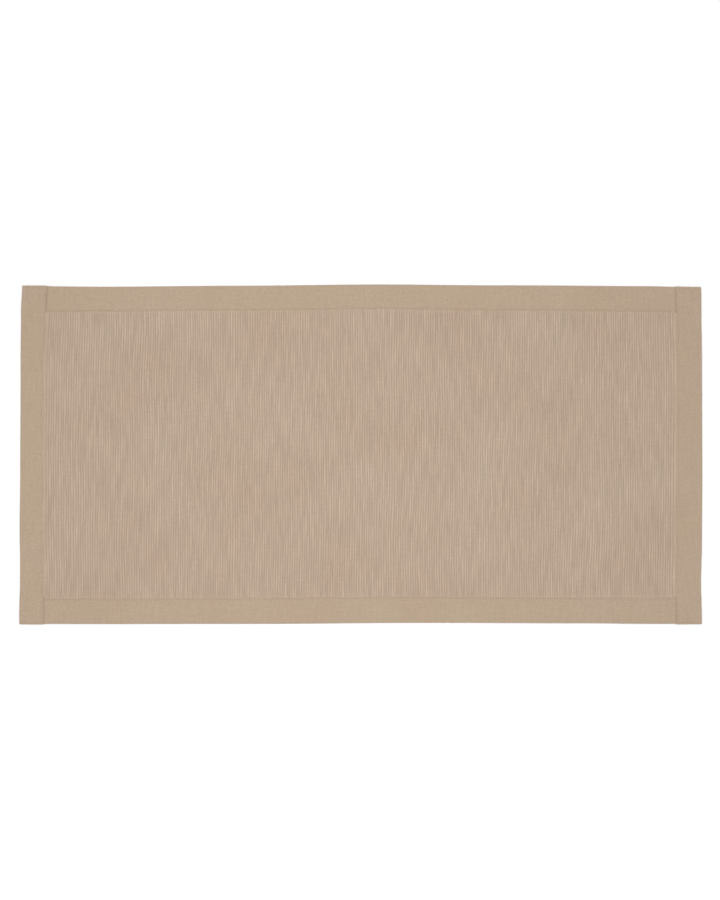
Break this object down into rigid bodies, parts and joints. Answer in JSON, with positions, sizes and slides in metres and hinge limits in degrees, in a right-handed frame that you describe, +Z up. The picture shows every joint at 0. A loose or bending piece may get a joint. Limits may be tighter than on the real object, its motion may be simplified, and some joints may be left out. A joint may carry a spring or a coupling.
{
  "type": "table runner",
  "caption": "Flat rectangular cotton table runner: finely ribbed centre cloth edged all round with folded plain-woven strips, lockstitched.",
  "frame": {"origin": "on the surface that the runner lies on, under the middle of the runner", "axes": "+X along the runner's length, +Y across it, +Z up out of its face"},
  "size_m": [0.9, 0.447, 0.0036],
  "materials": {
    "ribbed_cotton": "matte",
    "plain_cotton": "matte",
    "sewing_thread": "matte"
  },
  "bodies": {
    "root": {"ribbed_panel": "ribbed_cotton", "border_back": "plain_cotton", "border_front": "plain_cotton", "border_left": "plain_cotton", "border_right": "plain_cotton", "needle_thread_back": "sewing_thread", "needle_thread_front": "sewing_thread", "needle_thread_left": "sewing_thread", "needle_thread_right": "sewing_thread", "closing_needle_threads": "sewing_thread", "bobbin_thread_back": "sewing_thread", "bobbin_thread_front": "sewing_thread", "bobbin_thread_left": "sewing_thread", "bobbin_thread_right": "sewing_thread", "closing_bobbin_threads": "sewing_thread"}
  },
  "joints": []
}
